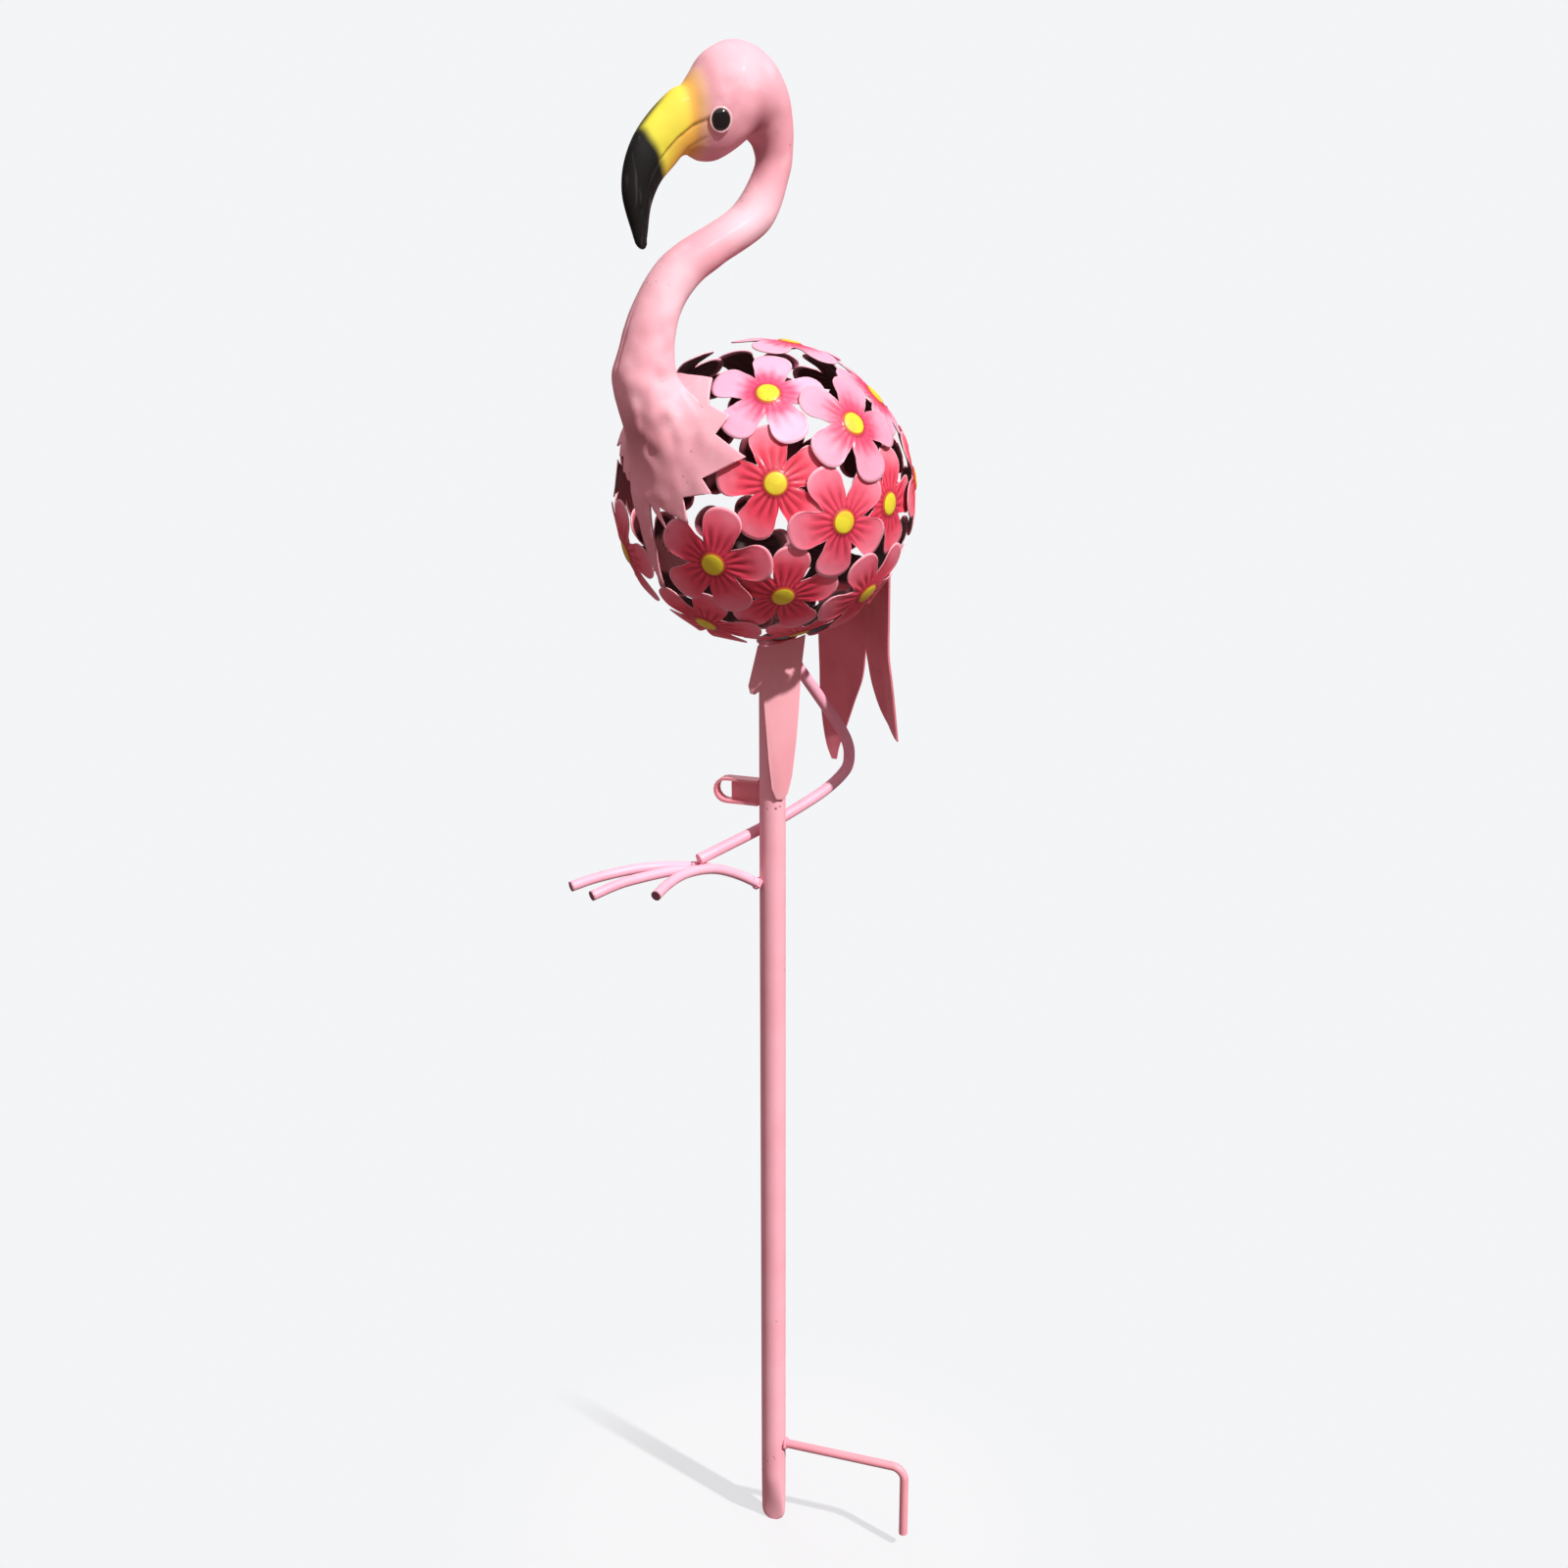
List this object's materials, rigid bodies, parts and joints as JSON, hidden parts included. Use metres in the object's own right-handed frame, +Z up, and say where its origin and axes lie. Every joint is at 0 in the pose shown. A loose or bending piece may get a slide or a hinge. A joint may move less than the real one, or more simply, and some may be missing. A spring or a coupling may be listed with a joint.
{
  "type": "flamingo garden stake",
  "caption": "Painted sheet-metal flamingo garden stake: curved neck, openwork ball body of lapped flowers, forked tail, folded leg and a tube with a foot prong to press into soil.",
  "frame": {"origin": "on the stake tube's axis at the soil line, level with the underside of the foot prong", "axes": "+Z up along the tube, -X the way the bird faces, -Y the bird's left side"},
  "size_m": [0.2182, 0.186, 1.0007],
  "materials": {
    "body_paint": "satin pink enamel on hammered sheet, with a yellow and black beak",
    "flower_paint": "satin enamel shading from deep rose to pale pink rims, yellow centres",
    "tail_paint": "satin pink enamel",
    "thigh_paint": "satin pink enamel",
    "stake_paint": "satin pink enamel",
    "leg_paint": "satin pink enamel"
  },
  "bodies": {
    "root": {"head_neck_breast": "body_paint", "tail_feathers": "tail_paint", "thigh_plate": "thigh_paint", "stake_tube": "stake_paint", "loop_bracket": "stake_paint", "foot_prong": "stake_paint", "bent_leg": "leg_paint", "toe_far": "leg_paint", "toe_middle": "leg_paint", "toe_near_and_hind": "leg_paint", "flower_01": "flower_paint", "flower_02": "flower_paint", "flower_03": "flower_paint", "flower_04": "flower_paint", "flower_05": "flower_paint", "flower_06": "flower_paint", "flower_07": "flower_paint", "flower_08": "flower_paint", "flower_09": "flower_paint", "flower_10": "flower_paint", "flower_11": "flower_paint", "flower_12": "flower_paint", "flower_13": "flower_paint", "flower_14": "flower_paint", "flower_15": "flower_paint", "flower_16": "flower_paint", "flower_17": "flower_paint", "flower_18": "flower_paint", "flower_19": "flower_paint", "flower_20": "flower_paint", "flower_21": "flower_paint", "flower_22": "flower_paint", "flower_23": "flower_paint", "flower_24": "flower_paint", "flower_25": "flower_paint", "flower_26": "flower_paint", "flower_27": "flower_paint"}
  },
  "joints": []
}
